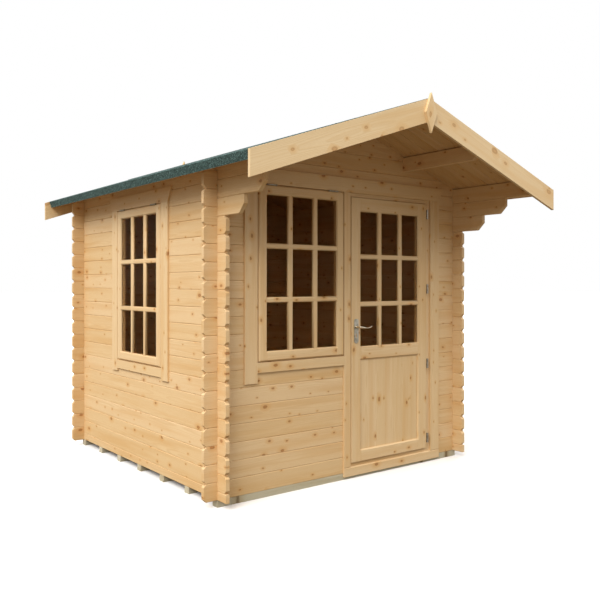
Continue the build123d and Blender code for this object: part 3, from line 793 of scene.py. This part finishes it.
def ridgeStart(above):
    # where the middle of the roof lies along the slope, for a place above the deck
    return -(roofLook["thickness"] + above) * math.tan(roofPitch)


def makeSheet(bm, side, points, front, back):
    # points go down the slope, as distances along it and above the deck
    turn = slopeFrame(side)
    verts = [
        bm.verts.new(turn @ Vector((side * along, front, roofLook["thickness"] + above)))
        for along, above in points
    ]
    edges = [bm.edges.new(pair) for pair in zip(verts, verts[1:])]
    made = bmesh.ops.extrude_edge_only(bm, edges=edges)["geom"]
    moved = [v for v in made if isinstance(v, bmesh.types.BMVert)]
    bmesh.ops.translate(bm, vec=(0, back - front, 0), verts=moved)


for side, node in ((-1, "left_roof_felt"), (1, "right_roof_felt")):
    low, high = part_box(node)
    length = slopeLength(node.replace("felt", "deck"))
    thick = feltCut["thickness"]
    half = thick / 2
    lowerEdge = length - feltCut["lowerSheet"]
    lowerSheet = [
        (lowerEdge, half),
        (length - feltCut["fold"], half),
        (length + half, -feltCut["fold"]),
        (length + half, -(roofLook["thickness"] + feltCut["drop"])),
    ]
    upperSheet = [
        (ridgeStart(half) + feltCut["ridgeGap"], half),
        (lowerEdge - feltCut["liftStart"], half),
        (lowerEdge + feltCut["liftEnd"], half + thick),
        (lowerEdge + feltCut["lap"], half + thick),
    ]
    sheets = bmesh.new()
    for points in (lowerSheet, upperSheet):
        makeSheet(sheets, side, points, low.y, high.y)
    bmesh.ops.recalc_face_normals(sheets, faces=sheets.faces)
    bmesh.ops.solidify(sheets, geom=sheets.faces[:], thickness=thick)
    outwards = (side * half * math.sin(roofPitch), 0, half * math.cos(roofPitch))
    bmesh.ops.translate(sheets, vec=outwards, verts=sheets.verts)
    finishPiece(sheets, camel(node, "Sheets"), "cabin", felt, [node])

# A strip of felt over the ridge lies on the upper sheets, with clout nails along its edges
strip = bmesh.new()
feltLow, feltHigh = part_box("left_roof_felt")
stripMiddle = feltCut["thickness"] * 3 / 2
for side in (-1, 1):
    points = [(ridgeStart(stripMiddle), stripMiddle), (feltCut["ridgeStrip"], stripMiddle)]
    makeSheet(strip, side, points, feltLow.y, feltHigh.y)
bmesh.ops.remove_doubles(strip, verts=strip.verts, dist=feltCut["ridgeWeld"])
bmesh.ops.recalc_face_normals(strip, faces=strip.faces)
if sum(face.normal.z for face in strip.faces) < 0:
    bmesh.ops.reverse_faces(strip, faces=strip.faces)
bmesh.ops.solidify(strip, geom=strip.faces[:], thickness=feltCut["thickness"])
finishPiece(strip, "ridgeFelt", "cabin", felt)

nails = {"head": 0.005, "taper": 0.8, "thickness": 0.001, "spacing": 0.10, "edge": 0.02, "sides": 10}
nailHeads = bmesh.new()
nailCount = math.floor((feltHigh.y - feltLow.y - 2 * nails["edge"]) / nails["spacing"])
nailAlong = feltCut["ridgeStrip"] - nails["edge"]
nailHeight = roofLook["thickness"] + feltCut["thickness"] * 2
for side in (-1, 1):
    for i in range(nailCount + 1):
        spot = Vector((side * nailAlong, feltLow.y + nails["edge"] + i * nails["spacing"], nailHeight))
        bmesh.ops.create_cone(
            nailHeads,
            cap_ends=True,
            segments=nails["sides"],
            radius1=nails["head"],
            radius2=nails["head"] * nails["taper"],
            depth=nails["thickness"],
            matrix=slopeFrame(side) @ Matrix.Translation(spot),
        )
finishPiece(nailHeads, "feltNails", "cabin", metals["hinge_zinc"])
print("felt laid")

# The lever: a handle on each side that thins to a waist and rises to its tip, on a turned neck.
# The sleeve thickens its first stretch. waistPlace, sleeveStart, sleeveEnd, roundFrom and roundLength
# are shares of the length. In neckLook the cap's numbers are distances from the neck's outer end.
leverLook = {
    "length": 0.110, "root": 0.0068, "waist": 0.0040, "waistPlace": 0.60, "tip": 0.0052, "depth": 0.0052,
    "sag": 0.007, "rise": 0.005, "sleeve": 0.0018, "sleeveStart": 0.04, "sleeveEnd": 0.34,
    "roundFrom": 0.96, "roundLength": 0.04, "smallestEnd": 0.25,
    "rings": 28, "sides": 20, "spindle": 0.008, "belowPlateTop": 0.056,
}
neckLook = {
    "radius": 0.009, "length": 0.051, "collar": 0.0105, "collarLength": 0.006, "step": 0.002,
    "stepShare": 0.86, "waistPlace": 0.55, "waistShare": 0.82, "cap": 0.014, "capRound": 0.004,
    "capEdge": 0.001, "capEdgeShare": 0.8, "capFaceShare": 0.45,
}


def addRings(bm, rings):
    # a closed shell through rings of places, all with as many places
    rows = [[bm.verts.new(place) for place in ring] for ring in rings]
    count = len(rows[0])
    for row, after in zip(rows, rows[1:]):
        for i in range(count):
            bm.faces.new((row[i], row[(i + 1) % count], after[(i + 1) % count], after[i])).smooth = True
    bm.faces.new(reversed(rows[0]))
    bm.faces.new(rows[-1])


def leverRing(middle, across, up, halfAcross, halfUp):
    sides = leverLook["sides"]
    turns = [2 * math.pi * i / sides for i in range(sides)]
    return [middle + across * halfAcross * math.cos(a) + up * halfUp * math.sin(a) for a in turns]


def addLeverSide(bm, axle, face, out):
    # face is the plate's outer side, and out the way that the neck points from it
    look, neck = leverLook, neckLook
    along, outwards, up = Vector((1, 0, 0)), Vector((0, out, 0)), Vector((0, 0, 1))
    root = Vector((axle.x, face, axle.z))
    radius, reach = neck["radius"], neck["length"]
    profile = [
        (0.0, neck["collar"]),
        (neck["collarLength"], neck["collar"]),
        (neck["collarLength"] + neck["step"], radius * neck["stepShare"]),
        (reach * neck["waistPlace"], radius * neck["waistShare"]),
        (reach - neck["cap"], radius),
        (reach - neck["capRound"], radius),
        (reach - neck["capEdge"], radius * neck["capEdgeShare"]),
        (reach, radius * neck["capFaceShare"]),
    ]
    addRings(bm, [leverRing(root + outwards * away, along, up, r, r) for away, r in profile])
    rings = []
    for i in range(look["rings"] + 1):
        t = i / look["rings"]
        if t < look["waistPlace"]:
            share = t / look["waistPlace"]
            height = look["root"] + (look["waist"] - look["root"]) * share
            middle = -look["sag"] * math.sin(share * math.pi / 2)
        else:
            share = (t - look["waistPlace"]) / (1 - look["waistPlace"])
            height = look["waist"] + (look["tip"] - look["waist"]) * share
            middle = -look["sag"] + (look["sag"] + look["rise"]) * share ** 2
        # a thicker sleeve on the first stretch, and a round end
        height += look["sleeve"] if look["sleeveStart"] < t < look["sleeveEnd"] else 0.0
        past = max(0.0, (t - look["roundFrom"]) / look["roundLength"])
        closing = max(look["smallestEnd"], math.sqrt(max(0.0, 1 - past ** 2)))
        spot = root + along * look["length"] * t + up * middle + outwards * (reach - look["depth"])
        rings.append(leverRing(spot, outwards, up, look["depth"] * closing, height * closing))
    addRings(bm, rings)


leverMesh = bmesh.new()
plateLow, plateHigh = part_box("door_handle_plates")
axle = Vector(((plateLow.x + plateHigh.x) / 2, 0, plateHigh.z - leverLook["belowPlateTop"]))
addLeverSide(leverMesh, axle, plateLow.y, -1)
addLeverSide(leverMesh, axle, plateHigh.y, 1)
half = leverLook["spindle"] / 2
spindleLow = (axle.x - half, plateLow.y, axle.z - half)
spindleHigh = (axle.x + half, plateHigh.y, axle.z + half)
addBox(leverMesh, spindleLow, spindleHigh)
bmesh.ops.recalc_face_normals(leverMesh, faces=leverMesh.faces)
finishPiece(leverMesh, "leverHandle", "lever", metals["lever_nickel"], ["door_lever"])

plateLook = {"eased": 0.0012, "segments": 3}
plates = copyOfNode("door_handle_plates")
mergeFlatFaces(plates)
soften(plates, plateLook["eased"], plateLook["segments"])
finishPiece(plates, "handlePlates", "door", metals["plate_nickel"], ["door_handle_plates"])
print("door furniture made")


# Glass and hinges stay as the solids are
def paintNodes(nodes, material):
    for node in nodes:
        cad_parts[node].data.materials.clear()
        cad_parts[node].data.materials.append(material)


paintNodes(("front_window_glass", "side_window_glass", "door_glass"), glass)
paintNodes(
    ("door_frame_hinges", "door_leaf_hinges", "front_window_hinges", "side_window_hinges"),
    metals["hinge_zinc"],
)
print("glass and hinges painted")

# Studio: a pale floor, a soft sun from the front left, and a white sky that gives less light low down.
# The camera sees floorColour, and the cabin gets the light of floorBounce.
studio = {
    "floorSize": 200.0, "floorColour": (0.96, 0.96, 0.96), "floorBounce": (0.16, 0.135, 0.100),
    "floorRoughness": 0.9, "floorSpecular": 0.1,
    "sky": (1.0, 0.985, 0.965), "zenithLight": 1.55, "horizonLight": 0.21, "horizonBand": (-0.1, 0.7),
    "backdropColour": (1.0, 1.0, 1.0), "backdrop": 1.0,
    "sunStrength": 2.45, "sunSpread": 40.0, "sunTurn": (48.0, 0.0, -67.0), "sunColour": (1.0, 0.98, 0.94),
}
ground = bmesh.new()
bmesh.ops.create_grid(ground, x_segments=1, y_segments=1, size=studio["floorSize"] / 2)
groundMesh = bpy.data.meshes.new("studioFloor")
ground.to_mesh(groundMesh)
ground.free()
studioFloor = newObject("studioFloor", groundMesh)
floorPaint, floorTree, floorSurface = newMaterial("floor_paint")
seenByCamera = addNode(floorTree, "LightPath").outputs["Is Camera Ray"]
floorTree.links.new(
    blendColours(floorTree, seenByCamera, studio["floorBounce"], studio["floorColour"]),
    floorSurface.inputs["Base Color"],
)
floorSurface.inputs["Roughness"].default_value = studio["floorRoughness"]
floorSurface.inputs["Specular IOR Level"].default_value = studio["floorSpecular"]
groundMesh.materials.append(floorPaint)

sunLamp = bpy.data.lights.new("sun", "SUN")
sunLamp.energy = studio["sunStrength"]
sunLamp.angle = math.radians(studio["sunSpread"])
sunLamp.color = studio["sunColour"]
sun = newObject("sun", sunLamp)
sun.rotation_euler = [math.radians(a) for a in studio["sunTurn"]]

world = bpy.data.worlds.new("sky")
bpy.context.scene.world = world
world.use_nodes = True
sky = world.node_tree
background = sky.nodes["Background"]
rays = addNode(sky, "LightPath").outputs
seen = calc(sky, "MAXIMUM", rays["Is Camera Ray"], rays["Is Glossy Ray"])
seen = calc(sky, "MAXIMUM", seen, rays["Is Transmission Ray"])
height = addNode(sky, "SeparateXYZ", {0: addNode(sky, "TexCoord").outputs["Generated"]}).outputs["Z"]
light = ramp(sky, height, *studio["horizonBand"], studio["horizonLight"], studio["zenithLight"])
skyColour = blendColours(sky, seen, studio["sky"], studio["backdropColour"])
sky.links.new(skyColour, background.inputs["Color"])
strength = addNode(sky, "Mix", data_type="FLOAT")
strength.inputs[3].default_value = studio["backdrop"]
sky.links.new(seen, strength.inputs[0])
sky.links.new(light, strength.inputs[2])
sky.links.new(strength.outputs[0], background.inputs["Strength"])

# The camera is level, so that upright edges stay upright in the picture
view = {"place": (-3.445, -4.963, 1.394), "heading": -37.741, "lens": 43.06, "shiftY": -0.0272}
lens = bpy.data.cameras.new("camera")
lens.lens = view["lens"]
lens.shift_y = view["shiftY"]
camera = newObject("camera", lens)
camera.location = view["place"]
camera.rotation_euler = (math.radians(90), 0, math.radians(view["heading"]))
bpy.context.scene.camera = camera
bpy.context.scene.view_settings.view_transform = "Standard"

print("scene ready")
